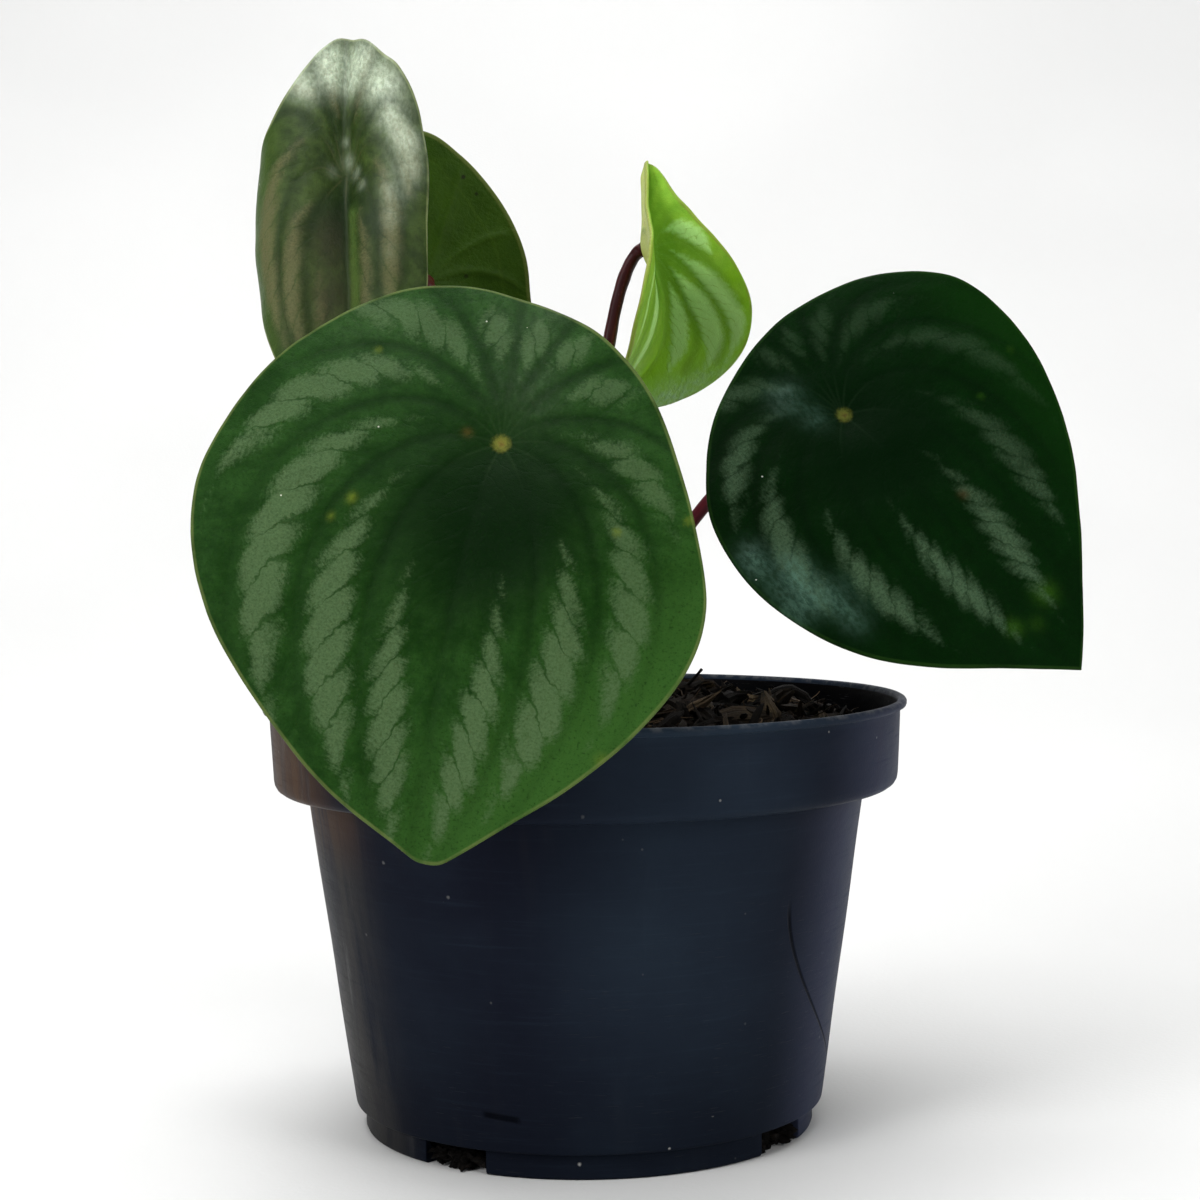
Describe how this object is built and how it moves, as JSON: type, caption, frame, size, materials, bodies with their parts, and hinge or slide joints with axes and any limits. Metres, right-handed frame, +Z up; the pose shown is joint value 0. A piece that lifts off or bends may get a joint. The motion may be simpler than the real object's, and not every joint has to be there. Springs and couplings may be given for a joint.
{
  "type": "potted peperomia",
  "caption": "House plant with striped, shield-shaped leaves on slender red stalks, growing from a short crown in a round black nursery pot with a deep collar and drainage notches.",
  "frame": {"origin": "centre of the flat underside of the pot, on the surface that it stands on", "axes": "+Z up along the pot's axis, -Y towards the front, where the largest leaf hangs before the pot, +X to the right as seen from the front"},
  "size_m": [0.1502, 0.1342, 0.2036],
  "materials": {
    "pot": "satin",
    "potting_mix": "matte",
    "crown": "matte",
    "stalk": "satin",
    "blade_front": "satin",
    "blade_right": "satin",
    "blade_upper": "satin",
    "blade_back": "satin",
    "blade_young": "satin"
  },
  "bodies": {
    "root": {"pot": "pot", "potting_mix": "potting_mix", "crown": "crown", "stalk_front": "stalk", "stalk_right": "stalk", "stalk_upper": "stalk", "stalk_back": "stalk", "stalk_young": "stalk", "blade_front": "blade_front", "blade_right": "blade_right", "blade_upper": "blade_upper", "blade_back": "blade_back", "blade_young": "blade_young"}
  },
  "joints": []
}
